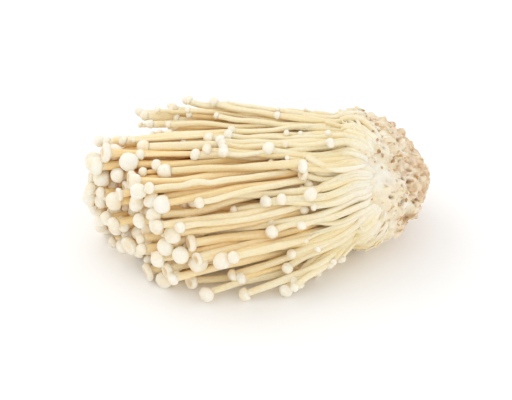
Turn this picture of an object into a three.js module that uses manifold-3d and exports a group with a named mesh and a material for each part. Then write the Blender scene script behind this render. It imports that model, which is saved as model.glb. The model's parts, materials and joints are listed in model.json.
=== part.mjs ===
// Enoki mushroom bunch, lying on its side on a flat surface.
// Millimetres, +Z up. The root block is at +X and the caps point towards -X.
// The stems fan out of the front face of the root block, and the lowest ones lie on the surface.
import * as THREE from 'three';
import * as BufferGeometryUtils from 'three/addons/utils/BufferGeometryUtils.js';
import Module from 'manifold-3d';

const wasm = await Module();
wasm.setup();

// ---- the bunch as a whole ----
const faceX = 38;              // where the stems meet the root block
const axisZ = 25.5;            // height of the bunch's own axis at the root block
const widthScale = 1.16;       // the round bunch is pressed wider in Y ...
const heightScale = 0.9;       // ... and lower in Z by its own weight
const gap = 0.3;               // clearance between neighbouring pieces

// The caps at the far end lie on a blunt dome. Its point would be here.
const domePoint = new THREE.Vector3(-80, 8, 22);
const domeBlunt = 8;
const domeSlopeY = 1.02;
const domeSlopeZ = 0.8;

// The far end of the fan is a wedge: high at the back, sunk low and spread wide at the front.
const fanFront = 44;
const fanBack = 34;
const fanTop = 48;
const fanSink = 22;            // how much lower the wedge is at its front edge
const fanFloor = 3.5;
const fanLength = 90;          // stems of this length have spread as far as the wedge
const leanFront = 0.75;        // outward lean of the front stems where they leave the block
const leanBack = 0.2;
const leanDown = 0.3;

// ---- clumps: mushrooms fused at the foot, on a honeycomb of places ----
const footPitch = 9.6;
const footRadius = 4.45;
const footHeight = 2.5;
const footSides = 11;
const footRings = 2;           // rings of clumps round the middle one
const clumpSize = 7;           // mushrooms in one clump
const memberRing = 2.85;       // radius of the ring of mushrooms on one foot
const memberSunk = 0.8;        // how deep a stem starts inside its foot

// ---- single mushrooms round the edge ----
const edgeRadius = 26.2;
const edgeCount = 40;

// ---- one mushroom ----
const sides = 5;               // sides of a stem's section
const stemSegments = 5;
const rootTaper = 0.72;        // stems are thinner where they leave the block
const bendSize = 3.5;          // random bend of a stem

// Outline of a cap in cap radii: how far ahead of the cap's middle, and how wide.
const capOutline = [[-0.6, 0], [-0.25, 0.93], [0.45, 0.85]];
const capHeight = 0.95;

// ---- the root block ----
// Outline: distance behind its front face, and radius.
const blockOutline = [
  [0, 0], [0, 16], [0, 28.2], [2, 29.2], [7, 29], [13, 27],
  [20, 23.6], [27, 18.8], [33, 13.6], [37.5, 7.5], [39.5, 0],
];
const blockAxisZ = 24.5;
const blockHeightScale = 0.93;
const blockSides = 28;
const lumpDepth = 0.05;        // lumps, as a share of the block's radius

// ---- settling the stems clear of each other ----
const relaxSteps = 240;        // steps that also keep the stems smooth
const clearSteps = 120;        // steps that only push them apart
const stiffness = 0.2;
const shapeMemory = 0.01;
const clearance = gap * 1.15;

const capColour = 0xfaf3e4;
const stemColour = 0xf3e2b8;
const blockColour = 0xeadcc0;

// Single mushrooms placed one by one: angle round the block's edge (0 at the back, 90 at the
// top, 180 at the front), the middle of the cap, stem radius and cap radius.
const placed = [
  { angle: 54, end: [-45, 27, 45], stem: 0.9, cap: 1.6 },
  { angle: 63, end: [-37, 29, 50], stem: 0.9, cap: 1.7 },
  { angle: 72, end: [-24, 24, 52.5], stem: 0.95, cap: 1.7 },
  { angle: 81, end: [-33, 19, 49], stem: 1.0, cap: 1.8 },
  { angle: 90, end: [-17, 6, 49], stem: 1.4, cap: 2.4 },
  { angle: 99, end: [-44, 4, 42], stem: 1.5, cap: 2.5 },
  { angle: 108, end: [-24, -3, 45], stem: 1.4, cap: 2.2 },
  { angle: 117, end: [-36, -9, 40], stem: 1.5, cap: 2.6 },
  { angle: 126, end: [6, -12, 45], stem: 1.1, cap: 1.6 },
  { angle: 135, end: [-26, -16, 36], stem: 1.5, cap: 2.2 },
  { angle: 144, end: [-10, -20, 33], stem: 1.4, cap: 1.9 },
  { angle: 153, end: [-38, -22, 24], stem: 1.4, cap: 3.2 },
  { angle: 162, end: [-8, -27, 24], stem: 1.4, cap: 1.9 },
  { angle: 171, end: [-15, -27, 15], stem: 1.5, cap: 2.4 },
  { angle: 180, end: [-12, -34, 6], stem: 1.5, cap: 2.5 },
  { angle: 189, end: [7, -40, 3.5], stem: 1.5, cap: 2.5 },
  { angle: 198, end: [-9, -40.5, 3.5], stem: 1.4, cap: 2.8 },
  { angle: 207, end: [-25, -38, 4], stem: 1.4, cap: 2.8 },
  { angle: 216, end: [22, -31, 2.6], stem: 1.5, cap: 1.5 },
  { angle: 225, end: [-30, -31, 5], stem: 1.4, cap: 3.0 },
  { angle: 234, end: [27, -25, 2.2], stem: 1.4, cap: 1.4 },
];

// Small repeatable random numbers (Park and Miller).
let seed = 20211;
function random(low, high) {
  seed = (seed * 16807) % 2147483647;
  return low + (high - low) * (seed / 2147483647);
}

// ---- where each mushroom starts and ends ----

function rootPoint(radius, angle) {
  const y = radius * Math.cos(angle) * widthScale;
  const z = axisZ + radius * Math.sin(angle) * heightScale;
  return new THREE.Vector3(faceX - gap, y, z);
}

// Place across the block's face, from -1 to 1 each way.
function placeAcross(root) {
  const acrossY = root.y / (edgeRadius * widthScale);
  const acrossZ = (root.z - axisZ) / (edgeRadius * heightScale);
  return [acrossY, acrossZ];
}

// A cap's middle: on the dome at the far end of the fan, or shortBy nearer to the block.
function endPoint(root, shortBy) {
  const [acrossY, acrossZ] = placeAcross(root);
  const y = acrossY * (acrossY < 0 ? fanFront : fanBack) + random(-4, 4);
  const top = fanTop - fanSink * Math.max(0, -acrossY) ** 1.5;
  const chord = Math.sqrt(Math.max(0.1, 1 - acrossY ** 2));
  const level = THREE.MathUtils.clamp((acrossZ / chord + 1) / 2, 0, 1);
  const z = fanFloor + level * (top - fanFloor) + random(-2, 2);
  const fromPoint = Math.hypot(domeBlunt, domeSlopeY * (y - domePoint.y), domeSlopeZ * (z - domePoint.z));
  const x = domePoint.x + fromPoint + shortBy;
  const spread = Math.min(1, (faceX - x) / fanLength);
  return new THREE.Vector3(x, root.y, root.z).lerp(new THREE.Vector3(x, y, z), spread);
}

// First guess of a stem's centre line: it leaves the block leaning outwards and bends to its end.
function firstPath(root, end) {
  const [acrossY, acrossZ] = placeAcross(root);
  const length = root.distanceTo(end);
  const front = Math.max(0, -acrossY);
  const lean = acrossY < 0 ? leanFront : leanBack;
  const leave = new THREE.Vector3(-1, acrossY * lean, acrossZ * 0.2 - front * leanDown).normalize();
  const arrive = end.clone().sub(root).normalize().multiplyScalar(0.7);
  arrive.x -= 0.3;
  arrive.z *= 0.5;
  const first = root.clone().addScaledVector(leave, length / 3);
  const second = end.clone().addScaledVector(arrive, -length / 3);
  [first, second].forEach((point) => {
    point.y += random(-bendSize, bendSize);
    point.z += random(-bendSize, bendSize);
  });
  const curve = new THREE.CubicBezierCurve3(root, first, second, end);
  return curve.getSpacedPoints(stemSegments);
}

function makeMushroom(root, end, stem, cap) {
  const path = firstPath(root, end);
  const rest = path.map((point) => point.clone());
  const spacing = [];
  for (let k = 0; k < stemSegments; k += 1) {
    spacing.push(path[k].distanceTo(path[k + 1]));
  }
  return { path, rest, spacing, stem, cap };
}

function makeClump(y, z) {
  const foot = rootPoint(Math.hypot(y, z), Math.atan2(z, y));
  const turn = random(0, 2 * Math.PI);
  const members = [];
  for (let k = 0; k < clumpSize; k += 1) {
    const ring = k === 0 ? 0 : memberRing;
    const angle = turn + (2 * Math.PI * k) / (clumpSize - 1);
    const root = foot.clone();
    root.y += ring * Math.cos(angle) * widthScale;
    root.z += ring * Math.sin(angle) * heightScale;
    const shortBy = random(0, 1) < 0.2 ? random(14, 34) : random(0, 13);
    members.push(makeMushroom(root, endPoint(root, shortBy), random(1.25, 1.6), random(2.1, 3.5)));
  }
  return { foot, members };
}

function makeClumps() {
  const clumps = [];
  for (let q = -footRings; q <= footRings; q += 1) {
    for (let r = -footRings; r <= footRings; r += 1) {
      if (Math.abs(q + r) <= footRings) {
        clumps.push(makeClump(footPitch * (q + r / 2), (footPitch * r * Math.sqrt(3)) / 2));
      }
    }
  }
  return clumps;
}

function makeEdgeMushroom(index) {
  const degrees = (360 / edgeCount) * index;
  const root = rootPoint(edgeRadius, THREE.MathUtils.degToRad(degrees));
  const byHand = placed.find((entry) => entry.angle === degrees);
  if (byHand) {
    return makeMushroom(root, new THREE.Vector3(...byHand.end), byHand.stem, byHand.cap);
  }
  const isShort = random(0, 1) < 0.25;
  const shortBy = isShort ? random(25, 50) : random(0, 14);
  const cap = isShort ? random(1.7, 2.2) : random(2.2, 3.3);
  return makeMushroom(root, endPoint(root, shortBy), random(1.35, 1.65), cap);
}

// ---- settling the stems so that none runs through another ----

// Every stem segment and every cap is a capsule: two path points and a radius.
function capsulesOf(mushrooms) {
  const capsules = [];
  mushrooms.forEach(({ path, stem, cap }, owner) => {
    for (let k = 0; k < stemSegments; k += 1) {
      capsules.push({ owner, a: path[k], b: path[k + 1], radius: stem });
    }
    capsules.push({ owner, a: path[stemSegments], b: path[stemSegments], radius: cap });
  });
  return capsules;
}

// Places along two segments, each from 0 to 1, where they come closest.
function closestPlaces(first, second) {
  const d1 = first.b.clone().sub(first.a);
  const d2 = second.b.clone().sub(second.a);
  const between = first.a.clone().sub(second.a);
  const a = Math.max(d1.lengthSq(), 1e-9);
  const e = Math.max(d2.lengthSq(), 1e-9);
  const b = d1.dot(d2);
  const c = d1.dot(between);
  const f = d2.dot(between);
  const denominator = a * e - b * b;
  const guess = denominator > 1e-9 ? THREE.MathUtils.clamp((b * f - c * e) / denominator, 0, 1) : 0.5;
  const t = THREE.MathUtils.clamp((b * guess + f) / e, 0, 1);
  const s = THREE.MathUtils.clamp((b * t - c) / a, 0, 1);
  return [s, t];
}

function moveCapsule(capsule, place, step, sign) {
  if (capsule.a === capsule.b) {
    capsule.a.addScaledVector(step, sign);
    return;
  }
  const share = 1 / ((1 - place) ** 2 + place ** 2);
  capsule.a.addScaledVector(step, sign * share * (1 - place));
  capsule.b.addScaledVector(step, sign * share * place);
}

function pushApart([first, second]) {
  const need = first.radius + second.radius + clearance;
  const [s, t] = closestPlaces(first, second);
  const onFirst = first.a.clone().lerp(first.b, s);
  const onSecond = second.a.clone().lerp(second.b, t);
  const apart = onFirst.sub(onSecond);
  const distance = Math.max(apart.length(), 1e-6);
  if (distance < need) {
    apart.multiplyScalar((0.5 * (need - distance)) / distance);
    moveCapsule(first, s, apart, 1);
    moveCapsule(second, t, apart, -1);
  }
}

function nearPairs(capsules) {
  const margin = 2.5;
  const pairs = [];
  const middles = capsules.map((capsule) => capsule.a.clone().lerp(capsule.b, 0.5));
  const halves = capsules.map((capsule) => capsule.a.distanceTo(capsule.b) / 2 + capsule.radius);
  for (let i = 0; i < capsules.length; i += 1) {
    for (let j = i + 1; j < capsules.length; j += 1) {
      const limit = halves[i] + halves[j] + margin;
      const apart = capsules[i].owner !== capsules[j].owner;
      if (apart && middles[i].distanceToSquared(middles[j]) < limit * limit) {
        pairs.push([capsules[i], capsules[j]]);
      }
    }
  }
  return pairs;
}

function keepSmooth({ path, rest }) {
  for (let k = 1; k < stemSegments; k += 1) {
    const middle = path[k - 1].clone().lerp(path[k + 1], 0.5);
    path[k].lerp(middle, stiffness);
    path[k].lerp(rest[k], k === 1 ? 30 * shapeMemory : shapeMemory);
  }
  path[stemSegments].lerp(rest[stemSegments], shapeMemory);
}

function keepLengths({ path, spacing }) {
  for (let k = 0; k < stemSegments; k += 1) {
    const step = path[k + 1].clone().sub(path[k]);
    const error = (step.length() - spacing[k]) / step.length();
    const share = k === 0 ? 0 : 0.4;
    path[k].addScaledVector(step, error * share);
    path[k + 1].addScaledVector(step, -error * (1 - share) * 0.6);
  }
}

function keepAboveFloor({ path, rest, stem, cap }) {
  path[0].copy(rest[0]);
  path.forEach((point, k) => {
    const radius = k === stemSegments ? cap : stem;
    point.z = Math.max(point.z, radius + gap / 2);
  });
}

function settle(mushrooms) {
  const capsules = capsulesOf(mushrooms);
  let pairs = [];
  for (let step = 0; step < relaxSteps + clearSteps; step += 1) {
    if (step % 10 === 0) {
      pairs = nearPairs(capsules);
    }
    if (step < relaxSteps) {
      mushrooms.forEach(keepSmooth);
      mushrooms.forEach(keepLengths);
    }
    pairs.forEach(pushApart);
    mushrooms.forEach(keepAboveFloor);
  }
}

// ---- solids ----

// Rings of points joined into a closed skin, with a point at each end.
function loft(rings, startPole, endPole) {
  const positions = [];
  [...rings.flat(), startPole, endPole].forEach((point) => positions.push(point.x, point.y, point.z));
  const start = rings.length * sides;
  const last = start - sides;
  const index = [];
  for (let i = 0; i < sides; i += 1) {
    const next = (i + 1) % sides;
    for (let row = 0; row < last; row += sides) {
      index.push(row + i, row + next, row + i + sides);
      index.push(row + next, row + next + sides, row + i + sides);
    }
    index.push(start, next, i);
    index.push(start + 1, last + i, last + next);
  }
  const geometry = new THREE.BufferGeometry();
  geometry.setAttribute('position', new THREE.Float32BufferAttribute(positions, 3));
  geometry.setIndex(index);
  return geometry;
}

function ringAt(centre, direction, radius) {
  const side = new THREE.Vector3(0, 0, 1).cross(direction).normalize();
  const up = direction.clone().cross(side).normalize();
  const points = [];
  for (let i = 0; i < sides; i += 1) {
    const angle = (2 * Math.PI * i) / sides;
    const point = centre.clone().addScaledVector(side, radius * Math.cos(angle));
    points.push(point.addScaledVector(up, radius * Math.sin(angle)));
  }
  return points;
}

// Direction of a path at one of its points.
function directionAt(path, k) {
  const before = path[Math.max(0, k - 1)];
  const after = path[Math.min(stemSegments, k + 1)];
  return after.clone().sub(before).normalize();
}

// A stem with its cap; its first ring is flat against the block, or sunk into its clump's foot.
function mushroomGeometry({ path, stem, cap }, sunk) {
  const rings = [];
  for (let k = 0; k < stemSegments; k += 1) {
    rings.push(ringAt(path[k], directionAt(path, k), k === 0 ? stem * rootTaper : stem));
  }
  const startPole = path[0].clone();
  startPole.x -= sunk;
  rings[0].forEach((point) => {
    point.x = startPole.x;
  });
  const middle = path[stemSegments];
  const along = directionAt(path, stemSegments);
  capOutline.forEach(([ahead, width]) => {
    const centre = middle.clone().addScaledVector(along, ahead * cap);
    rings.push(ringAt(centre, along, Math.max(stem, width * cap)));
  });
  const endPole = middle.clone().addScaledVector(along, capHeight * cap);
  return loft(rings, startPole, endPole);
}

function toSolid(geometry) {
  const bare = geometry.clone();
  bare.deleteAttribute('normal');
  bare.deleteAttribute('uv');
  const merged = BufferGeometryUtils.mergeVertices(bare, 1e-4);
  const mesh = new wasm.Mesh({
    numProp: 3,
    vertProperties: new Float32Array(merged.attributes.position.array),
    triVerts: new Uint32Array(merged.index.array),
  });
  return new wasm.Manifold(mesh);
}

function toGeometry(solid) {
  const mesh = solid.getMesh();
  const geometry = new THREE.BufferGeometry();
  geometry.setAttribute('position', new THREE.Float32BufferAttribute(mesh.vertProperties, mesh.numProp));
  geometry.setIndex(Array.from(mesh.triVerts));
  geometry.computeVertexNormals();
  return geometry;
}

// The low cushion on the block's face that the mushrooms of one clump grow from.
function footGeometry(foot) {
  const geometry = new THREE.CylinderGeometry(footRadius, footRadius, footHeight, footSides);
  geometry.rotateZ(Math.PI / 2);
  geometry.scale(1, widthScale, heightScale);
  geometry.translate(foot.x - footHeight / 2, foot.y, foot.z);
  return geometry;
}

function clumpGeometry({ foot, members }) {
  let solid = toSolid(footGeometry(foot));
  members.forEach((member) => {
    solid = solid.add(toSolid(mushroomGeometry(member, memberSunk)));
  });
  return toGeometry(solid);
}

// Uneven swelling of the block, roughly from -1 to 1.
function lump(x, y, z) {
  const broad = Math.sin(0.21 * y + 0.9) * Math.cos(0.19 * z - 0.13 * x);
  const fine = Math.sin(0.47 * x + 0.33 * y) * Math.sin(0.41 * z + 0.7);
  return broad + 0.6 * fine;
}

function blockGeometry() {
  const outline = blockOutline.map(([behind, radius]) => new THREE.Vector2(radius, behind));
  const geometry = new THREE.LatheGeometry(outline, blockSides);
  geometry.rotateZ(-Math.PI / 2);
  const position = geometry.attributes.position;
  for (let i = 0; i < position.count; i += 1) {
    const x = position.getX(i);
    const y = position.getY(i);
    const z = position.getZ(i);
    const swell = x > 1 ? 1 + lumpDepth * lump(x, y, z) : 1;
    position.setXYZ(i, faceX + x, y * swell * widthScale, blockAxisZ + z * swell * blockHeightScale);
  }
  return geometry;
}

// The block is pressed flat where it rests on the surface.
function restedBlock() {
  const room = new THREE.BoxGeometry(200, 200, 100);
  room.translate(faceX, 0, 50);
  return toGeometry(toSolid(blockGeometry()).intersect(toSolid(room)));
}

// ---- the scene graph ----

function addPiece(group, name, geometry, colour, roughness) {
  const material = new THREE.MeshStandardMaterial({ color: colour, roughness, metalness: 0 });
  const mesh = new THREE.Mesh(geometry, material);
  mesh.name = name;
  group.add(mesh);
}

function numbered(name, index) {
  return `${name}_${String(index + 1).padStart(2, '0')}`;
}

// The origin is under the middle of the bunch, on the surface that it lies on.
function centreOverOrigin(group) {
  const box = new THREE.Box3().setFromObject(group, true);
  const middle = box.getCenter(new THREE.Vector3());
  group.position.set(-middle.x, -middle.y, -box.min.z);
}

const clumps = makeClumps();
const edge = [];
for (let index = 0; index < edgeCount; index += 1) {
  edge.push(makeEdgeMushroom(index));
}
settle([...clumps.flatMap((clump) => clump.members), ...edge]);

const group = new THREE.Group();
addPiece(group, 'root_block', restedBlock(), blockColour, 0.9);
clumps.forEach((clump, index) => {
  addPiece(group, numbered('clump', index), clumpGeometry(clump), stemColour, 0.6);
});
edge.forEach((mushroom, index) => {
  addPiece(group, numbered('mushroom', index), mushroomGeometry(mushroom, 0), capColour, 0.6);
});
centreOverOrigin(group);

export default group;
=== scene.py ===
import json
import math
import random

import bmesh
import bpy
from mathutils import Matrix, Vector, kdtree, noise
from mathutils.bvhtree import BVHTree


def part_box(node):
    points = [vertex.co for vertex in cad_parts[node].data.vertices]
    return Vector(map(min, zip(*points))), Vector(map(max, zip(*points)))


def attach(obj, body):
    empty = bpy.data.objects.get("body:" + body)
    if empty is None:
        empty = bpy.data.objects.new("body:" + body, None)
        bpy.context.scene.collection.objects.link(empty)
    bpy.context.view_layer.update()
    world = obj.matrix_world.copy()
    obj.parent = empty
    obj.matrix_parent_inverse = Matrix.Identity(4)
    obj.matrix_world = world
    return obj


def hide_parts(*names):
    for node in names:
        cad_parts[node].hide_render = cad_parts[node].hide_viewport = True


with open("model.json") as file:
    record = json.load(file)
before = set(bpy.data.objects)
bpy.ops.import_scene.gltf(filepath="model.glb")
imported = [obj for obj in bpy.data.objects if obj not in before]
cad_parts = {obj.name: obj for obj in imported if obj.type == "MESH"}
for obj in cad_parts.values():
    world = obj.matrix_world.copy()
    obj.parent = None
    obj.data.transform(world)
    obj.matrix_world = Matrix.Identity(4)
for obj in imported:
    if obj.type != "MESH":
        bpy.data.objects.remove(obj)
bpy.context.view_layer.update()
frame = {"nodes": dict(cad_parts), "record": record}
print("frame loaded:", len(frame["nodes"]), "nodes")

mm = 0.001
rng = random.Random(21)
noise.seed_set(21)
blockLow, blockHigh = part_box("root_block")
faceX = blockLow.x  # the stems meet the block here
blockMiddle = (blockLow + blockHigh) / 2
slots = [entry["slot"] for entry in frame["record"]["materials"]]


# Camera, light and floor

camera = {"azimuth": 351, "elevation": 38, "distance": 0.428, "lens": 70,
          "target": Vector((-0.9, 3.1, 19.4)) * mm}
light = {
    "world": 1.0, "bounces": 12,
    "key": {"place": (-0.35, 0.30, 0.62), "size": 0.5, "power": 0.85, "colour": (1.0, 0.985, 0.96)},
    "fill": {"place": (0.45, -0.50, 0.35), "size": 0.6, "power": 0.35, "colour": (0.97, 0.985, 1.0)},
}
floor = {"size": 1.5, "colour": (0.97, 0.97, 0.97, 1), "roughness": 0.9}


def aim(obj, target):
    obj.rotation_euler = (target - obj.location).to_track_quat("-Z", "Y").to_euler()


def makeCamera():
    turn = math.radians(camera["azimuth"])
    rise = math.radians(camera["elevation"])
    away = Vector((math.sin(turn) * math.cos(rise), -math.cos(turn) * math.cos(rise), math.sin(rise)))
    data = bpy.data.cameras.new("camera")
    data.lens = camera["lens"]
    data.clip_start = 0.01
    obj = bpy.data.objects.new("camera", data)
    bpy.context.scene.collection.objects.link(obj)
    obj.location = camera["target"] + away * camera["distance"]
    aim(obj, camera["target"])
    bpy.context.scene.camera = obj


def makeLight(name):
    data = bpy.data.lights.new(name, "AREA")
    data.size = light[name]["size"]
    data.energy = light[name]["power"]
    data.color = light[name]["colour"]
    obj = bpy.data.objects.new(name, data)
    bpy.context.scene.collection.objects.link(obj)
    obj.location = light[name]["place"]
    aim(obj, camera["target"])


def makeStage():
    world = bpy.data.worlds.new("studio")
    world.use_nodes = True
    background = world.node_tree.nodes["Background"]
    background.inputs["Color"].default_value = (1, 1, 1, 1)
    background.inputs["Strength"].default_value = light["world"]
    bpy.context.scene.world = world
    bpy.context.scene.view_settings.view_transform = "Standard"
    bpy.context.scene.cycles.diffuse_bounces = light["bounces"]
    makeLight("key")
    makeLight("fill")
    bm = bmesh.new()
    bmesh.ops.create_grid(bm, x_segments=2, y_segments=2, size=floor["size"])
    material = bpy.data.materials.new("floor")
    material.use_nodes = True
    shader = material.node_tree.nodes["Principled BSDF"]
    shader.inputs["Base Color"].default_value = floor["colour"]
    shader.inputs["Roughness"].default_value = floor["roughness"]
    newObject("floor", bm, material)


# Small helpers

def newObject(name, bm, material):
    mesh = bpy.data.meshes.new(name)
    bm.to_mesh(mesh)
    bm.free()
    mesh.shade_smooth()
    obj = bpy.data.objects.new(name, mesh)
    bpy.context.scene.collection.objects.link(obj)
    mesh.materials.append(material)
    return obj


def finished(obj, slot, *nodes):
    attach(obj, "root")
    if nodes:
        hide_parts(*nodes)


def mixed(a, b, t):
    return a + (b - a) * t


def eased(t):
    t = max(0.0, min(1.0, t))
    return t * t * (3 - 2 * t)


def smoothLine(points, spacing):
    # a curve through the points, with about this much between its points
    padded = [points[0] * 2 - points[1]] + points + [points[-1] * 2 - points[-2]]
    line = []
    for k in range(1, len(padded) - 2):
        a, b, c, d = padded[k - 1:k + 3]
        steps = max(1, round((c - b).length / spacing))
        for step in range(steps):
            t = step / steps
            bowed = 2 * b + (c - a) * t + (2 * a - 5 * b + 4 * c - d) * t ** 2
            line.append((bowed + (3 * b - a - 3 * c + d) * t ** 3) / 2)
    line.append(points[-1].copy())
    return line


def evenLine(points, spacing):
    # the same curve with points exactly this far apart, and its whole length
    fine = smoothLine(points, spacing / 3)
    line = [fine[0].copy()]
    left = spacing
    for a, b in zip(fine, fine[1:]):
        step = (b - a).length
        gone = 0.0
        while step - gone >= left:
            gone += left
            line.append(a.lerp(b, gone / step))
            left = spacing
        left -= step - gone
    return line, sum((b - a).length for a, b in zip(fine, fine[1:]))


def outwardAt(point):
    # away from the bunch's long axis
    away = Vector((0, point.y - blockMiddle.y, point.z - blockMiddle.z))
    return away.normalized()


def onAxis(x):
    return Vector((x, blockMiddle.y, blockMiddle.z))


def rayAt(angle):
    return Vector((0, math.cos(angle), math.sin(angle)))


# Centre lines, read back from the CAD mushrooms

capShare = {"width": 0.85, "neck": 0.6}  # of a cap's radius, as in the CAD
loftSides = 5  # of the CAD's stems and caps


def followRings(tip):
    # ring by ring from a cap's tip down to the root
    seen = {tip}
    ring = [edge.other_vert(tip) for edge in tip.link_edges]
    rings = []
    while len(ring) == loftSides:
        centre = sum((v.co for v in ring), Vector()) / loftSides
        rings.append((centre, sum((v.co - centre).length for v in ring) / loftSides))
        seen.update(ring)
        around = {edge.other_vert(v) for v in ring for edge in v.link_edges} - seen
        ring = sorted(around, key=lambda v: v.index)
    return rings


def isCapTip(v):
    if len(v.link_edges) != loftSides or v.co.x > faceX - 4 * mm:
        return False
    return all(len(edge.other_vert(v).link_edges) == loftSides for edge in v.link_edges)


def readMushrooms(nodeName):
    bm = bmesh.new()
    bm.from_mesh(frame["nodes"][nodeName].data)
    bmesh.ops.remove_doubles(bm, verts=bm.verts, dist=0.003 * mm)
    bm.verts.index_update()
    found = []
    for tip in bm.verts:
        if isCapTip(tip):
            rings = followRings(tip)
            cap = rings[0][1] / capShare["width"]
            points = [centre for centre, radius in reversed(rings[2:])]
            stem = sum(radius for centre, radius in rings[3:6]) / 3
            found.append({"points": points, "stem": stem, "cap": cap})
    bm.free()
    return found


mushrooms = {}
for nodeName in sorted(frame["nodes"]):
    if nodeName != "root_block":
        mushrooms[nodeName] = readMushrooms(nodeName)
edgeNames = sorted(name for name in mushrooms if name.startswith("mushroom"))
print("mushrooms read:", sum(len(found) for found in mushrooms.values()))


# The block's own surface, for stems to run over

def cadCopy(nodeName):
    bm = bmesh.new()
    bm.from_mesh(frame["nodes"][nodeName].data)
    bmesh.ops.remove_doubles(bm, verts=bm.verts, dist=0.01 * mm)
    return bm


blockForm = {"rim": 0.91, "rimDepth": 15 * mm, "crown": 3.4 * mm, "crownWay": Vector((0, 0.25, 0.97)),
             "crownX": faceX + 14 * mm, "crownLength": 13 * mm, "crownCore": 20 * mm,
             "focusWay": Vector((-7.3, -23, 18.5)) * mm * 1.1}


def shapedBlock():
    # the CAD block with its front rim drawn in to the stems and a low crown at the top
    bm = cadCopy("root_block")
    bmesh.ops.subdivide_edges(bm, edges=bm.edges, cuts=3, use_grid_fill=True)
    for v in bm.verts:
        away = Vector((0, v.co.y - blockMiddle.y, v.co.z - blockMiddle.z))
        depth = eased((v.co.x - faceX) / blockForm["rimDepth"])
        crown = max(0.0, away.normalized().dot(blockForm["crownWay"])) ** 3
        crown *= math.exp(-((v.co.x - blockForm["crownX"]) / blockForm["crownLength"]) ** 2)
        narrow = mixed(blockForm["rim"], 1.0, depth) - 1
        faded = min(1.0, away.length / blockForm["crownCore"])
        v.co += away * narrow + away.normalized() * blockForm["crown"] * crown * faded
    return bm


blockTree = BVHTree.FromBMesh(shapedBlock())
focus = blockTree.find_nearest(blockMiddle + blockForm["focusWay"])[0]  # the stems fan out from here

tail = {"step": 2.5 * mm, "bulge": 3, "short": (5, 12), "most": 34 * mm, "least": 6 * mm, "gap": 3 * mm,
        "pullPower": 0.6}


def tailOver(root, length, radius, rise):
    # carries a stem on over the block's flank towards the focus, sinking into it as it goes
    points = []
    here = root
    count = max(2, round(length / tail["step"]))
    pull = pullAt(root)
    for k in range(1, count + 1):
        heading = Vector((1 - pull, 0, 0)) + (focus - here).normalized() * pull
        ahead = here + heading.normalized() * length / count + outwardAt(here) * tail["bulge"] * mm
        spot, normal, index, distance = blockTree.find_nearest(ahead)
        here = spot + normal * radius * mixed(rise, -1.0, eased(k / count))
        points.append(here)
    return points


def pullAt(root):
    # how strongly the focus draws a stem's base
    return max(0.0, outwardAt(root).dot(outwardAt(focus))) ** tail["pullPower"]


def tailLength(root):
    pull = pullAt(root)
    towards = min((focus - root).length - tail["gap"], tail["most"])
    short = rng.uniform(*tail["short"]) * mm
    return mixed(short, max(towards, tail["least"]), eased(pull * 1.6)) * rng.uniform(0.7, 1.0)


# Materials

def feed(tree, made, inputs):
    for socket, value in inputs.items():
        if isinstance(value, bpy.types.NodeSocket):
            tree.links.new(value, made.inputs[socket])
        else:
            made.inputs[socket].default_value = value


def addNode(tree, kind, inputs, **settings):
    made = tree.nodes.new("ShaderNode" + kind)
    for name, value in settings.items():
        setattr(made, name, value)
    feed(tree, made, inputs)
    return made


def attribute(tree, name, output="Fac"):
    return addNode(tree, "Attribute", {}, attribute_name=name).outputs[output]


def noiseOf(tree, vector, scale, detail=3.0, roughness=0.55):
    made = addNode(tree, "TexNoise", {"Vector": vector, "Scale": scale, "Detail": detail,
                                      "Roughness": roughness})
    return made.outputs["Fac"]


def ramp(tree, factor, stops):
    made = addNode(tree, "ValToRGB", {"Fac": factor})
    elements = made.color_ramp.elements
    while len(elements) < len(stops):
        elements.new(0.5)
    for element, (place, colour) in zip(elements, stops):
        element.position = place
        element.color = (*colour, 1)
    return made.outputs["Color"]


def blended(tree, factor, a, b, mode="MIX"):
    made = addNode(tree, "Mix", {0: factor, 6: a, 7: b}, data_type="RGBA", blend_type=mode)
    return made.outputs[2]


def grey(value):
    return (value, value, value)


def newMaterial(name):
    material = bpy.data.materials.new(name)
    material.use_nodes = True
    tree = material.node_tree
    return material, tree, tree.nodes["Principled BSDF"]


fleshLook = {
    "edge": [(0.30, (0.93, 0.77, 0.46)), (0.50, (0.94, 0.85, 0.60)), (0.72, (0.94, 0.88, 0.71))],
    "clump": [(0.30, (0.97, 0.77, 0.42)), (0.50, (0.98, 0.85, 0.57)), (0.72, (0.98, 0.90, 0.70))],
    "lots": [(0.0, (0.96, 0.88, 0.72)), (0.5, (1.0, 0.98, 0.94)), (1.0, (1.0, 1.0, 1.0))],
    "cap": [(0.30, (0.95, 0.83, 0.62)), (0.48, (0.96, 0.90, 0.75)), (0.66, (0.97, 0.94, 0.85))],
    # the colour multiplied into stems deep in the bunch: partly their own more golden tone, partly painted
    # shade for the gaps between stems
    "innerGoldAndShade": (1.0, 0.90, 0.69, 1), "blush": (0.94, 0.76, 0.50, 1), "spot": (0.80, 0.55, 0.26, 1),
    "root": (0.97, 0.92, 0.82, 1),
}


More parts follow.
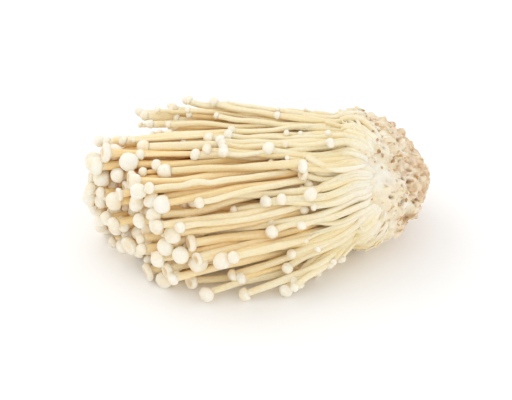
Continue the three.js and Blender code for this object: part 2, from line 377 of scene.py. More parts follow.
def fleshMaterial(name, streaks, shift):
    material, tree, shader = newMaterial(name)
    place = addNode(tree, "TexCoord", {}).outputs["Object"]
    place = addNode(tree, "Mapping", {"Vector": place, "Location": (shift, 0, 0)}).outputs["Vector"]
    skin = attribute(tree, "skin", "Vector")
    streak = noiseOf(tree, skin, 2.6, 4.0, 0.62)
    patch = noiseOf(tree, place, 130.0)
    speck = noiseOf(tree, place, 900.0, 2.0)
    stem = ramp(tree, streak, streaks)
    lot = ramp(tree, attribute(tree, "lot"), fleshLook["lots"])
    stem = blended(tree, 1.0, stem, lot, "MULTIPLY")
    # stems deep in the bunch are multiplied towards gold: partly their own tone, partly painted shade in the
    # gaps between stems
    stem = blended(tree, attribute(tree, "innerGoldAndShade"), stem, fleshLook["innerGoldAndShade"], "MULTIPLY")
    stem = blended(tree, attribute(tree, "rootPart"), stem, fleshLook["root"])
    cap = ramp(tree, patch, fleshLook["cap"])
    cap = blended(tree, attribute(tree, "blush"), cap, fleshLook["blush"])
    cap = blended(tree, attribute(tree, "spot"), cap, fleshLook["spot"])
    colour = blended(tree, attribute(tree, "capPart"), stem, cap)
    mottle = ramp(tree, speck, [(0.3, grey(0.93)), (0.7, grey(1.0))])
    colour = blended(tree, 1.0, colour, mottle, "MULTIPLY")
    rough = ramp(tree, patch, [(0.3, grey(0.36)), (0.7, grey(0.56))])
    fine = addNode(tree, "Bump", {"Height": speck, "Strength": 0.25, "Distance": 0.15 * mm})
    lines = addNode(tree, "Bump", {"Height": streak, "Strength": 0.45, "Distance": 0.4 * mm,
                                   "Normal": fine.outputs["Normal"]})
    feed(tree, shader, {"Base Color": colour, "Roughness": rough, "Normal": lines.outputs["Normal"],
                        "Subsurface Weight": 0.15, "Subsurface Radius": (1.0, 0.7, 0.45),
                        "Subsurface Scale": 0.8 * mm, "Specular IOR Level": 0.4})
    return material


blockLook = {
    "base": [(0.32, (0.72, 0.52, 0.31)), (0.45, (0.88, 0.77, 0.57)), (0.62, (0.93, 0.88, 0.76))],
    "tan": [(0.34, (0.56, 0.36, 0.20)), (0.50, (0.83, 0.65, 0.45)), (0.66, (0.93, 0.84, 0.69))],
    "flecks": [(0.57, (0, 0, 0)), (0.63, (1, 1, 1))], "fleck": (0.56, 0.30, 0.10, 1),
    "pit": (0.28, 0.14, 0.05, 1), "white": (0.89, 0.86, 0.78, 1), "stem": (0.89, 0.80, 0.60, 1),
}


def blockMaterial():
    material, tree, shader = newMaterial("rootFlesh")
    place = addNode(tree, "TexCoord", {}).outputs["Object"]
    fibre = addNode(tree, "Mapping", {"Vector": place, "Scale": (0.22, 1.0, 1.0)}).outputs["Vector"]
    lines = noiseOf(tree, fibre, 420.0, 4.0, 0.6)
    patch = noiseOf(tree, place, 170.0, 5.0, 0.6)
    fuzz = noiseOf(tree, place, 1500.0, 3.0, 0.65)
    base = ramp(tree, patch, blockLook["base"])
    base = blended(tree, attribute(tree, "stemPart"), base, blockLook["stem"])
    base = blended(tree, attribute(tree, "tanPart"), base, ramp(tree, patch, blockLook["tan"]))
    spots = noiseOf(tree, fibre, 520.0, 4.0, 0.6)
    flecked = ramp(tree, spots, blockLook["flecks"])
    fewer = ramp(tree, patch, [(0.40, grey(1.0)), (0.62, grey(0.3))])
    flecked = blended(tree, 1.0, flecked, fewer, "MULTIPLY")
    base = blended(tree, flecked, base, blockLook["fleck"])
    base = blended(tree, attribute(tree, "whitePart"), base, blockLook["white"])
    base = blended(tree, attribute(tree, "pit"), base, blockLook["pit"])
    shade = ramp(tree, lines, [(0.3, (0.90, 0.84, 0.74)), (0.6, grey(1.0))])
    base = blended(tree, 0.8, base, shade, "MULTIPLY")
    rough = ramp(tree, patch, [(0.3, grey(0.62)), (0.7, grey(0.88))])
    fine = addNode(tree, "Bump", {"Height": fuzz, "Strength": 0.5, "Distance": 0.25 * mm})
    grain = addNode(tree, "Bump", {"Height": lines, "Strength": 0.6, "Distance": 0.6 * mm,
                                   "Normal": fine.outputs["Normal"]})
    feed(tree, shader, {"Base Color": base, "Roughness": rough, "Normal": grain.outputs["Normal"],
                        "Subsurface Weight": 0.2, "Subsurface Radius": (1.0, 0.6, 0.3),
                        "Subsurface Scale": 1.5 * mm, "Specular IOR Level": 0.25})
    return material


# One mushroom: an outline spun about its axis, then bent along its centre line

capOutlines = {  # (radius, height) in cap radii, from the gills round the rim to the top
    "button": [(0.55, -0.52), (0.80, -0.54), (0.96, -0.30), (1.0, 0.02), (0.90, 0.40), (0.66, 0.70),
               (0.35, 0.88), (0.0, 0.94)],
    "tall": [(0.52, -0.58), (0.76, -0.62), (0.93, -0.38), (0.99, 0.02), (0.92, 0.46), (0.70, 0.84),
             (0.37, 1.06), (0.0, 1.13)],
    "dented": [(0.62, -0.40), (0.86, -0.44), (1.02, -0.20), (1.03, 0.08), (0.92, 0.30), (0.72, 0.35),
               (0.42, 0.25), (0.18, 0.16), (0.0, 0.14)],
    "open": [(0.64, -0.42), (0.92, -0.32), (1.07, -0.04), (1.06, 0.16), (0.90, 0.25), (0.62, 0.17),
             (0.30, 0.06), (0.0, 0.02)],
    "folded": [(0.60, -0.42), (0.86, -0.50), (1.00, -0.28), (0.98, 0.06), (0.82, 0.42), (0.50, 0.66),
               (0.0, 0.72)],
    "blunt": [(0.0, 0.0)],
}
mushroomLook = {"sides": 16, "thinSides": 8, "thin": 0.9 * mm, "spacing": 1.8 * mm, "capSpacing": 0.2,
                "line": 1.0 * mm, "taper": 12 * mm, "floor": 0.15 * mm, "fold": (0.3, 0.26),
                "lean": Vector((-0.2, -0.55, 0.55))}


def outlineOf(spec, length):
    stem = spec["stem"]
    outline = [Vector((0, 0, 0)), Vector((0.7 * stem, 0, 0))]
    count = max(3, round(length / mushroomLook["spacing"]))
    for k in range(1, count + 1):
        t = k / count
        taper = mixed(spec["rootScale"], 1.0, eased(length * t / mushroomLook["taper"]))
        taper *= mixed(1.0, spec["neckScale"], eased(t))
        outline.append(Vector((stem * taper, 0, length * t)))
    cap = spec["cap"]
    if spec["kind"] == "blunt":
        end = outline[-1].x
        for turn in (30, 60, 90):
            a = math.radians(turn)
            outline.append(Vector((end * math.cos(a), 0, length + end * math.sin(a) * 0.9)))
        return outline
    middle = length + capShare["neck"] * cap
    rim = [Vector((r, 0, h)) for r, h in capOutlines[spec["kind"]]]
    rim = [Vector((outline[-1].x / cap, 0, -0.48))] + rim
    for point in smoothLine(rim, mushroomLook["capSpacing"])[1:]:
        outline.append(Vector((max(0.0, point.x) * cap, 0, middle + point.z * cap * spec["height"])))
    outline[-1].x = 0
    return outline


def spunMushroom(outline, sides):
    bm = bmesh.new()
    line = [bm.verts.new(point) for point in outline]
    edges = [bm.edges.new(pair) for pair in zip(line, line[1:])]
    bmesh.ops.spin(bm, geom=line + edges, axis=(0, 0, 1), cent=(0, 0, 0), steps=sides,
                   angle=math.tau, use_merge=True)
    bmesh.ops.remove_doubles(bm, verts=bm.verts, dist=0.005 * mm)
    bmesh.ops.recalc_face_normals(bm, faces=bm.faces)
    return bm


def paint(bm, spec, length):
    # what the material reads: where each point lies on the mushroom
    skin = bm.verts.layers.float_vector.new("skin")
    names = ("lot", "capPart", "rootPart", "blush", "spot", "innerGoldAndShade")
    layer = {name: bm.verts.layers.float.new(name) for name in names}
    cap = spec["cap"]
    for v in bm.verts:
        r = math.hypot(v.co.x, v.co.y)
        across = 1 / max(r, 0.1 * mm)
        v[skin] = (v.co.x * across, v.co.y * across, v.co.z * 28 + spec["lot"] * 40)
        v[layer["lot"]] = spec["lot"]
        # how deep in the bunch this mushroom lies, which tints it gold: partly its own tone, partly painted
        # shade
        v[layer["innerGoldAndShade"]] = spec["innerGoldAndShade"]
        v[layer["rootPart"]] = eased(1 - v.co.z / spec["paleRoot"]) * 0.7
        if spec["kind"] != "blunt":
            upwards = (v.co.z - length + 0.6 * cap) / (1.2 * cap)
            v[layer["capPart"]] = eased(upwards + 0.15 * (r > spec["stem"] * 1.2))
            v[layer["blush"]] = spec["blush"] * eased(1.1 - r / cap)
            v[layer["spot"]] = spec["spotted"] * eased(1.3 - r / (0.72 * cap)) * (v.co.z > length + 0.2 * cap)


def roughen(bm, spec, length):
    # nothing in it is quite round
    turns = [spec["lot"] * math.tau * k for k in (1, 3, 7, 11)]
    for v in bm.verts:
        angle = math.atan2(v.co.y, v.co.x)
        z = v.co.z
        if z <= length or spec["kind"] == "blunt":
            swell = 0.07 * math.sin(2 * angle + turns[0] + z * 140)
            swell += 0.05 * math.sin(3 * angle + turns[1] - z * 90)
            swell += 0.14 * noise.noise(Vector((z * 160, spec["lot"] * 50, 0)))
            v.co.x *= 1 + swell
            v.co.y *= 1 + swell
            continue
        r = math.hypot(v.co.x, v.co.y) / spec["cap"]
        wave = spec["wave"] * (math.sin(2 * angle + turns[2]) + 0.7 * math.sin(3 * angle + turns[3]))
        v.co.x *= (1 + wave) * spec["oval"]
        v.co.y *= (1 + wave) / spec["oval"]
        v.co.z += spec["cap"] * 0.9 * wave * r * r
        if spec["kind"] == "folded" and z > length + 0.3 * spec["cap"]:
            depth, width = mushroomLook["fold"]
            v.co.z -= spec["cap"] * depth * math.exp(-(v.co.x / (width * spec["cap"])) ** 2)


def tiltCap(bm, spec, length, side, up):
    # the cap nods outwards, and up towards the open side of the bunch
    start = length - 0.2 * spec["cap"]
    way = outwardAt(spec["points"][-1]) + mushroomLook["lean"] + noise.random_unit_vector() * 0.5
    hinge = Vector((-way.dot(up), way.dot(side), 0)).normalized()
    turn = Matrix.Rotation(math.radians(spec["tilt"]), 3, hinge)
    pivot = Vector((0, 0, length))
    for v in bm.verts:
        if v.co.z > start:
            v.co = pivot + turn @ (v.co - pivot)


def framesOf(line):
    # each point with two axes across the line, which don't twist
    side = (line[1] - line[0]).orthogonal().normalized()
    run = []
    for k, point in enumerate(line):
        ahead = (line[min(k + 1, len(line) - 1)] - line[max(k - 1, 0)]).normalized()
        side = (side - ahead * side.dot(ahead)).normalized()
        run.append((point, side, ahead.cross(side)))
    return run


def bend(bm, run, spacing):
    for v in bm.verts:
        k = min(max(int(v.co.z / spacing), 0), len(run) - 2)
        t = v.co.z / spacing - k
        w = min(t, 1.0)
        a, b = run[k], run[k + 1]
        v.co = a[0].lerp(b[0], t) + a[1].lerp(b[1], w) * v.co.x + a[2].lerp(b[2], w) * v.co.y


def addMushroom(bm, spec):
    # bm gains one mushroom, closed and lying along its own centre line
    spacing = mushroomLook["line"]
    line, length = evenLine(spec["points"], spacing)
    sides = mushroomLook["sides"] if spec["stem"] > mushroomLook["thin"] else mushroomLook["thinSides"]
    one = spunMushroom(outlineOf(spec, length), sides)
    paint(one, spec, length)
    roughen(one, spec, length)
    run = framesOf(line)
    if spec["kind"] != "blunt":
        tiltCap(one, spec, length, run[-1][1], run[-1][2])
    bend(one, run, spacing)
    for v in one.verts:
        v.co.z = max(v.co.z, mushroomLook["floor"])
    mesh = bpy.data.meshes.new("one")
    one.to_mesh(mesh)
    one.free()
    bm.from_mesh(mesh)
    bpy.data.meshes.remove(mesh)


kindShares = {"button": 62, "tall": 22, "dented": 10, "open": 4, "folded": 2}


def newSpec(points, stem, cap, kind=None):
    end = points[-1]
    if kind is None:
        kind = rng.choices(list(kindShares), list(kindShares.values()))[0]
        if end.x < -28 * mm and end.y < -14 * mm and end.z < 32 * mm and rng.random() < 0.5:
            kind = "dented"  # the older caps, low at the front
    if end.z > 38 * mm and end.y > 10 * mm:
        cap *= 0.75  # the thin stems at the back have the smallest caps
    if kind not in ("button", "blunt") and cap < 2.5 * mm:
        kind = "button"
    middle = points[len(points) // 2]
    offAxis = math.hypot(middle.y - blockMiddle.y, middle.z - blockMiddle.z)
    spotted = rng.uniform(0.5, 1.0) if kind == "dented" else rng.choice((0.0, 0.0, 0.15))
    blush = rng.uniform(0.4, 0.8) if kind == "open" else rng.uniform(0.0, 0.35)
    return {"points": points, "stem": stem, "cap": cap, "kind": kind, "lot": rng.random(),
            "rootScale": rng.uniform(0.6, 0.9), "neckScale": rng.uniform(0.82, 1.0),
            "height": rng.uniform(0.85, 1.15), "wave": rng.uniform(0.01, 0.07),
            "oval": rng.uniform(0.95, 1.06), "tilt": rng.uniform(4, 40),
            "paleRoot": rng.uniform(10, 26) * mm, "spotted": spotted, "blush": blush,
            # near the bunch's axis a stem is tinted towards gold: partly its own deeper tone, partly painted
            # shade for the gaps between stems
            "innerGoldAndShade": 0.9 * eased((25 * mm - offAxis) / (9 * mm))}


def wavy(points, size):
    # small sideways wander, none at the ends
    moved = [points[0]]
    for point in points[1:-1]:
        moved.append(point + Vector((0, rng.uniform(-size, size), rng.uniform(-size, size))))
    return moved + [points[-1]]


# The mushrooms that have nodes, a little fuller than the CAD's five-sided loft

swell = {"edge": 1.16, "clump": 1.26, "cap": 1.1}
wander = {"edge": 0.8 * mm, "clump": 0.75 * mm}
rootX = faceX + 1.5 * mm  # tuft stems end just inside the block
tails = []  # the edge stems, carried on over the block's flank


def rootOf(line):
    return line[0] + (line[0] - line[1]).normalized() * (rootX - line[0].x)


def makeEdge(material):
    for name in edgeNames:
        bm = bmesh.new()
        for found in mushrooms[name]:
            root = found["points"][0]
            back = tailOver(root, tailLength(root), found["stem"], 0.5)
            tails.append(back)
            line = back[::-1] + wavy(found["points"], wander["edge"])
            addMushroom(bm, newSpec(line, found["stem"] * swell["edge"], found["cap"] * swell["cap"]))
        finished(newObject(name + "_skin", bm, material), slots[2], name)


def makeClumps(material):
    for name in sorted(mushrooms):
        if name in edgeNames:
            continue
        bm = bmesh.new()
        for found in mushrooms[name]:
            line = [rootOf(found["points"])] + wavy(found["points"], wander["clump"])
            addMushroom(bm, newSpec(line, found["stem"] * swell["clump"], found["cap"] * swell["cap"]))
        finished(newObject(name + "_skin", bm, material), slots[1], name)


# Stems between the stems: thin, short, many without a cap

def stemCloud():
    samples = []
    for found in mushrooms.values():
        for mushroom in found:
            for point in smoothLine(mushroom["points"], 2.0 * mm):
                samples.append((point, mushroom["stem"], mushroom))
    return samples


def treeOf(samples):
    tree = kdtree.KDTree(len(samples))
    for k, sample in enumerate(samples):
        tree.insert(sample[0], k)
    tree.balance()
    return tree


between = {"tries": 700, "most": 150, "step": 3.0 * mm, "thin": 0.5 * mm, "thick": 1.2 * mm, "swell": 1.35,
           "far": 9 * mm, "turn": 0.88, "wide": 31 * mm, "high": 23.5 * mm, "blunt": 0.35}


def clearance(tree, samples, point):
    # room to the nearest stems, and the way out from between them
    room, push = between["far"], Vector()
    for place, index, distance in tree.find_n(point, 6):
        free = distance - samples[index][1]
        room = min(room, free)
        if free < between["thick"]:
            away = point - place
            away.x = 0
            push += away.normalized() * (between["thick"] - free)
    return room, push


def growBetween(tree, samples, start, length):
    points = [start]
    heading = Vector((-1, 0, 0))
    room = clearance(tree, samples, start)[0]
    while (len(points) - 1) * between["step"] < length:
        near = [samples[index] for place, index, distance in tree.find_n(points[-1], 3)]
        flow = sum(((s[2]["points"][-1] - s[2]["points"][0]).normalized() for s in near), Vector())
        heading = (heading + flow.normalized() * 1.2).normalized()
        ahead = points[-1] + heading * between["step"]
        for k in range(3):
            ahead += clearance(tree, samples, ahead)[1] * 0.4
        free = clearance(tree, samples, ahead)[0]
        if (ahead - points[-1]).normalized().dot(heading) < between["turn"]:
            break
        ends = sorted(s[2]["points"][-1].x for s in near)
        if free < between["thin"] or ahead.x < ends[1] + between["step"]:
            break
        room = min(room, free)
        points.append(ahead)
    return points, room


def makeBetween(material):
    samples = stemCloud()
    tree = treeOf(samples)
    bm = bmesh.new()
    made = 0
    for k in range(between["tries"]):
        if made == between["most"]:
            break
        angle, out = rng.uniform(0, math.tau), math.sqrt(rng.random())
        start = Vector((faceX - 2 * mm, blockMiddle.y + between["wide"] * out * math.cos(angle),
                        blockMiddle.z + between["high"] * out * math.sin(angle)))
        if clearance(tree, samples, start)[0] < between["thin"]:
            continue
        points, room = growBetween(tree, samples, start, rng.uniform(12, 115) * mm)
        if len(points) < 4:
            continue
        stem = min(max(room * between["swell"], 0.8 * mm), between["thick"])
        points.insert(0, points[0] + Vector((3.5 * mm, 0, 0)))
        kind = "blunt" if rng.random() < between["blunt"] else "button"
        if len(points) > 16:
            kind = None
        addMushroom(bm, newSpec(points, stem, stem * rng.uniform(1.5, 2.4), kind))
        made += 1
        for point in smoothLine(points, 2 * mm):
            samples.append((point, stem, {"points": points}))
        tree = treeOf(samples)
    finished(newObject("between_stems", bm, material), slots[1])
    print("stems between:", made)


# A second layer in the grooves between edge stems: whole mushrooms, short pins and one loose stem

grooves = {
    "over": {"shortest": 26 * mm, "longest": 112 * mm, "lift": (0.9 * mm, 2.2 * mm),
             "stem": (1.15 * mm, 1.5 * mm), "cap": (1.4, 2.0), "shares": (-0.5, 1.5), "second": 0.5},
    "pins": {"shortest": 5 * mm, "longest": 34 * mm, "lift": (1.6 * mm, 2.8 * mm),
             "stem": (0.7 * mm, 1.25 * mm), "cap": (1.2, 1.9), "shares": (0.2, 0.8), "tries": 64},
    "hump": 1.6 * mm, "room": 1.8 * mm, "tip": 1.0 * mm,
}


def grooveLine(k, reach, lift, shares):
    # between two neighbouring edge stems, out from the block, and over one of them if the shares say so
    a = smoothLine(mushrooms[edgeNames[k]][0]["points"], 2 * mm)
    b = smoothLine(mushrooms[edgeNames[(k + 1) % len(edgeNames)]][0]["points"], 2 * mm)
    count = min(len(a) - 4, len(b) - 4, max(3, round(reach / (2 * mm))))
    line = []
    for i in range(0, count, 3):
        share = mixed(shares[0], shares[1], eased(i / count))
        middle = a[i].lerp(b[i], share)
        gap = (a[i] - b[i]).length / 2
        over = grooves["hump"] * min(1.0, abs(2 * share - 1)) ** 2
        high = lift * (1 + 0.2 * max(0.0, outwardAt(middle).z))
        sunk = 0.5 * max(0.0, gap - grooves["room"])
        line.append(middle + outwardAt(middle) * (max(0.2 * high, high - sunk) + over))
    line[-1] += outwardAt(line[-1]) * grooves["tip"]  # so that the cap clears its neighbours
    return line


def addInGroove(bm, k, look, kind):
    stem = rng.uniform(*look["stem"])
    reach = mixed(look["shortest"], look["longest"], rng.random())
    shares = (rng.uniform(0.35, 0.65), rng.uniform(*look["shares"]))
    line = grooveLine(k, reach, rng.uniform(*look["lift"]), shares)
    if len(line) < 2 or outwardAt(line[0]).z < -0.6:
        return
    back = tailOver(line[0], tailLength(line[0]), stem, 1.2)
    line = back[::-1] + wavy(line, 0.3 * mm)
    addMushroom(bm, newSpec(line, stem, stem * rng.uniform(*look["cap"]), kind))


def makeOver(material):
    for k in range(len(edgeNames)):
        if k % 10 == 0:
            bm = bmesh.new()
        addInGroove(bm, k, grooves["over"], None)
        if rng.random() < grooves["over"]["second"]:
            addInGroove(bm, k, grooves["over"], None)
        if k % 10 == 9:
            finished(newObject("over_stems_" + str(k // 10 + 1), bm, material), slots[2])


def makePins(material):
    bm = bmesh.new()
    for n in range(grooves["pins"]["tries"]):
        k = rng.randrange(len(edgeNames))
        addInGroove(bm, k, grooves["pins"], rng.choice(("blunt", "button", "button")))
    finished(newObject("short_pins", bm, material), slots[2])


crossing = {"shortest": 26 * mm, "longest": 84 * mm, "lift": 3.4 * mm, "swing": 5.0 * mm, "free": 2.0 * mm,
            "stem": (1.15 * mm, 1.5 * mm), "cap": (1.4, 1.9), "each": 3}


def crossingLine(found):
    # follows a tuft's stem, lifted clear of it and swung to one side on the way out
    reach = rng.uniform(crossing["shortest"], crossing["longest"])
    swing = rng.uniform(-1, 1) * crossing["swing"]
    line = []
    for i, point in enumerate(smoothLine(found["points"], 2 * mm)[::3]):
        t = i * 6 * mm / reach
        if t > 1:
            break
        out = outwardAt(point)
        aside = Vector((0, -out.z, out.y))
        line.append(point + out * crossing["lift"] * eased(t * 3) + aside * swing * eased(t))
    return line


def makeCrossing(material):
    # a looser third layer over the tufts, on the side where the bunch has slumped open
    bm = bmesh.new()
    samples = stemCloud()
    tree = treeOf(samples)
    count = 0
    for name in sorted(set(mushrooms) - set(edgeNames)):
        for found in mushrooms[name] * crossing["each"]:
            line = crossingLine(found)
            out = outwardAt(line[-1])
            checked = line[len(line) // 3:] + [line[-1] + out * 3 * mm, line[-1] + out * 6 * mm]
            near = min(tree.find(point)[2] for point in checked)
            if out.y > 0.3 or out.z < -0.2 or near < crossing["free"]:
                continue
            samples += [(point, 0, None) for point in smoothLine(line, 2 * mm)]
            tree = treeOf(samples)
            stem = rng.uniform(*crossing["stem"])
            line = [rootOf(line)] + wavy(line, 0.4 * mm)
            addMushroom(bm, newSpec(line, stem, stem * rng.uniform(*crossing["cap"])))
            count += 1
    print("crossing stems:", count)
    finished(newObject("over_stems_5", bm, material), slots[2])


fibres = {"tries": 240, "thin": 0.3 * mm, "thick": 0.75 * mm, "shortest": 4 * mm, "longest": 13 * mm,
          "lifts": (0.1, 0.3, 0.5, 1.6), "bare": 12 * mm}


def keptBare(spot):
    # no fibres at the focus, nor on the flank beside it
    beside = pullAt(spot) > 0.4 and spot.x > focus.x - 1 * mm and spot.z > focus.z - 9 * mm
    return beside or (spot - focus).length < fibres["bare"]


def makeFibres(material):
    # thin stem bases and mycelium strands, combed over the flank away from the focus
    bm = bmesh.new()
    for n in range(fibres["tries"]):
        angle = rng.uniform(0, math.tau)
        out = Vector((rng.uniform(1, 15) * mm, 30 * mm * math.cos(angle), 30 * mm * math.sin(angle)))
        here, normal, index, distance = blockTree.find_nearest(onAxis(faceX) + out)
        if keptBare(here):
            continue
        radius = rng.uniform(fibres["thin"], fibres["thick"])
        step = rng.uniform(fibres["shortest"], fibres["longest"]) / 4
        lift = rng.choice(fibres["lifts"]) * mm
        pull = pullAt(here)
        points = [here - normal * radius * 1.5]
        for k in range(1, 5):
            heading = (here - focus).normalized() * pull + Vector((pull - 1.2, 0, 0))
            heading = (heading.normalized() + noise.random_unit_vector() * 0.3).normalized()
            ahead = here + heading * step + outwardAt(here) * 2 * mm
            here, normal, index, distance = blockTree.find_nearest(ahead)
            points.append(here + normal * (radius * 1.2 + lift * (k / 4) ** 2))
            if here.x < faceX + 1 * mm:
                break
        if len(points) > 3 and outwardAt(here).z > -0.8:
            spec = newSpec(points, radius, radius, "blunt")
            spec["paleRoot"] = rng.uniform(2, 20) * mm
            addMushroom(bm, spec)
    finished(newObject("root_fibres", bm, material), slots[0])


crumbs = {"count": 40, "small": 0.35 * mm, "large": 1.05 * mm,
          "colours": [(0.32, (0.30, 0.15, 0.05)), (0.50, (0.55, 0.33, 0.14)), (0.68, (0.80, 0.61, 0.38))]}


def makeCrumbs(material):
    # bits of substrate caught on the block, most of them near the top and the rear
    bm = bmesh.new()
    for n in range(crumbs["count"]):
        top = n % 3 == 0
        angle = math.radians(rng.uniform(60, 135)) if top else rng.uniform(0, math.tau)
        x = faceX + (rng.uniform(1, 17) if top else rng.uniform(14, 38)) * mm
        out = Vector((x - faceX, 34 * mm * math.cos(angle), 34 * mm * math.sin(angle)))
        spot, normal, index, distance = blockTree.find_nearest(onAxis(faceX) + out)
        size = mixed(crumbs["small"], crumbs["large"], rng.random() ** 2)
        turn = normal.to_track_quat("Z", "Y").to_matrix().to_4x4()
        shape = Matrix.Diagonal((rng.uniform(0.8, 1.8), rng.uniform(0.7, 1.2), 0.7, 1))
        place = Matrix.Translation(spot + normal * (0.6 * mm if top else 0.4 * mm)) @ turn @ shape
        made = bmesh.ops.create_icosphere(bm, subdivisions=2, radius=size, matrix=place)
        for v in made["verts"]:
            v.co += noise.noise_vector(v.co * 1500) * size * 0.45
    finished(newObject("crumbs", bm, material), slots[0])


def crumbMaterial():
    material, tree, shader = newMaterial("substrate")
    place = addNode(tree, "TexCoord", {}).outputs["Object"]
    patch = noiseOf(tree, place, 300.0)
    grit = noiseOf(tree, place, 2200.0, 3.0)
    colour = ramp(tree, patch, crumbs["colours"])
    rough = ramp(tree, grit, [(0.3, grey(0.7)), (0.7, grey(0.95))])
    bump = addNode(tree, "Bump", {"Height": grit, "Strength": 0.6, "Distance": 0.2 * mm})
    feed(tree, shader, {"Base Color": colour, "Roughness": rough, "Normal": bump.outputs["Normal"]})
    return material


loose = {"stem": 1.25 * mm, "cap": 2.2 * mm, "lift": 2.6 * mm,
         "way": ((faceX + 5.5 * mm, 133), (faceX - 8 * mm, 134), (faceX - 18 * mm, 123))}


def makeLoose(material):
    # one broken stem lying on top, close to the block
    bm = bmesh.new()
    samples = stemCloud()
    points = []
    for x, degrees in loose["way"]:
        ray = rayAt(math.radians(degrees))
        near = [s[0] for s in samples if abs(s[0].x - min(x, faceX - 1 * mm)) < 2.5 * mm]
        reach = max((p - blockMiddle).dot(ray) for p in near if outwardAt(p).dot(ray) > 0.985)
        points.append(onAxis(x) + ray * (reach + loose["lift"]))
    addMushroom(bm, newSpec(points, loose["stem"], loose["cap"], "blunt"))
    finished(newObject("loose_stem", bm, material), slots[2])


# The root block: the CAD block, stem bases and lumps, grown together as one body

block = {"voxel": 0.62 * mm, "lumps": 60, "lumpSizes": (1.5, 4.0), "ropes": 46, "ropeSizes": (0.8, 1.6),
         "pits": 150, "pitSizes": (0.4, 1.8), "pitDepth": 1.7, "focusSize": 8 * mm,
         "grain": 6.5 * mm, "fineGrain": 2.6 * mm, "wander": 1.2}


def addRope(bm, points, stem):
    addMushroom(bm, newSpec(points, stem, stem, "blunt"))


def blockBody():
    bm = shapedBlock()
    for back in tails:
        addRope(bm, [p - outwardAt(p) * 0.9 * mm for p in back], 1.5 * mm)
    for k in range(block["ropes"]):
        ray = rayAt(rng.uniform(0, math.tau))
        root = onAxis(faceX + 1 * mm) + ray * 26 * mm
        back = tailOver(root, rng.uniform(8, 26) * mm, rng.uniform(*block["ropeSizes"]) * mm, 0.5)
        addRope(bm, back, rng.uniform(*block["ropeSizes"]) * mm)
    for k in range(block["lumps"]):
        ray = rayAt(rng.uniform(0, math.tau))
        aside = onAxis(mixed(blockMiddle.x, blockHigh.x, rng.random())) + ray * 30 * mm
        spot, normal, index, distance = blockTree.find_nearest(aside)
        size = rng.uniform(*block["lumpSizes"]) * mm
        turn = Matrix.Translation(spot - normal * size * 0.45) @ Matrix.Diagonal((1.4, 1, 1, 1))
        bmesh.ops.create_icosphere(bm, subdivisions=2, radius=size, matrix=turn)
    return bm


def remeshed(bm, voxel):
    obj = newObject("block_rough", bm, None)
    remesh = obj.modifiers.new("skin", "REMESH")
    remesh.mode = "VOXEL"
    remesh.voxel_size = voxel
    soften = obj.modifiers.new("soften", "SMOOTH")
    soften.iterations = 3
    graph = bpy.context.evaluated_depsgraph_get()
    mesh = bpy.data.meshes.new_from_object(obj.evaluated_get(graph))
    bpy.data.objects.remove(obj)
    made = bmesh.new()
    made.from_mesh(mesh)
    bpy.data.meshes.remove(mesh)
    return made


def pitSpots():
    spots = []
    for k in range(block["pits"]):
        ray = rayAt(rng.uniform(0, math.tau))
        x = mixed(faceX + 4 * mm, blockHigh.x - 1 * mm, rng.random())
        spot = blockTree.find_nearest(onAxis(x) + ray * 30 * mm)[0]
        if (spot - focus).length > 7 * mm:
            spots.append((spot, mixed(*block["pitSizes"], rng.random() ** 2) * mm))
    return spots


def grainAt(p, size):
    # 0 in the cracks between grains of this size, 1 on top of them
    near = noise.voronoi(p / size)[0]
    return eased((near[1] - near[0]) * 2.2)


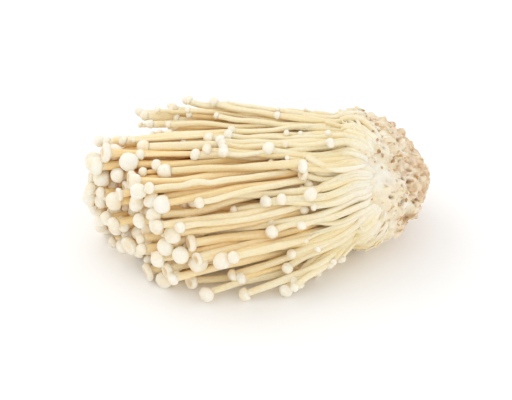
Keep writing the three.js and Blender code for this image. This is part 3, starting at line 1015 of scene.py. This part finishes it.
def roughenBlock(bm):
    # coarse grains and pits at the back, fine fibres at the front, white at the focus
    names = ("pit", "tanPart", "whitePart", "stemPart")
    layer = {name: bm.verts.layers.float.new(name) for name in names}
    spots = pitSpots()
    bm.normal_update()
    moved = []
    for v in bm.verts:
        p, normal = v.co.copy(), v.normal.copy()
        astray = noise.noise_vector(p * 240) * block["wander"] * mm
        depth = (p.x - faceX) / (blockHigh.x - faceX)
        flank = outwardAt(p)
        around = Vector((p.x * 60, flank.y * 16, flank.z * 16))
        away = (p - focus).length
        coarse = eased(depth * 1.8 - 0.15 + noise.noise(p * 150) * 0.5)
        coarse *= eased((away - 5 * mm) / (9 * mm))
        lump = noise.noise(p * 120) * 1.2 + noise.noise(p * 300 + Vector((5, 0, 0))) * 0.5
        grain = (grainAt(p + astray * 1.5, block["grain"]) - 0.6) * 1.1
        grain += (grainAt(p + astray, block["fineGrain"]) - 0.6) * 0.4
        grain += noise.turbulence(p * 260, 3, True) * 0.8 - 0.5
        fibre = noise.noise(around) * 0.6 * eased(1.5 - depth * 1.6)
        fine = noise.noise(p * 900) * 0.16 + noise.noise(p * 2000) * 0.08
        bent = p + astray * 0.7
        pit = max(eased(1.15 - (bent - spot).length / size) for spot, size in spots)
        crevice = max(0.0, -(grain + 0.75)) * coarse
        v[layer["pit"]] = min(1.0, pit + crevice * 0.8)
        v[layer["tanPart"]] = eased(depth * 2.2 - 0.95 + noise.noise(p * 110) * 0.9) * 0.9
        v[layer["whitePart"]] = eased(1.25 - away / block["focusSize"] + noise.noise(p * 260) * 0.5) * 0.8
        v[layer["stemPart"]] = (1 - coarse) * 0.7
        rise = lump + fibre + grain * coarse + fine - block["pitDepth"] * pit
        moved.append(p + normal * rise * mm)
    for v, place in zip(bm.verts, moved):
        v.co = place
        v.co.z = max(v.co.z, mushroomLook["floor"])


def makeBlock(material):
    bm = remeshed(blockBody(), block["voxel"])
    roughenBlock(bm)
    print("block faces:", len(bm.faces))
    finished(newObject("root_block_skin", bm, material), slots[0], "root_block")


makeCamera()
makeStage()
print("camera, light and floor are in place")
edgeFlesh = fleshMaterial("mushroomFlesh", fleshLook["edge"], 0.0)
clumpFlesh = fleshMaterial("clumpFlesh", fleshLook["clump"], 0.37)
makeEdge(edgeFlesh)
print("edge mushrooms done:", len(edgeNames))
makeClumps(clumpFlesh)
print("clumps done")
makeBetween(clumpFlesh)
makeOver(edgeFlesh)
makePins(edgeFlesh)
makeLoose(edgeFlesh)
print("stems over the others, pins and loose stem done")
makeFibres(edgeFlesh)
makeCrumbs(crumbMaterial())
print("fibres and crumbs done")
makeBlock(blockMaterial())
makeCrossing(edgeFlesh)
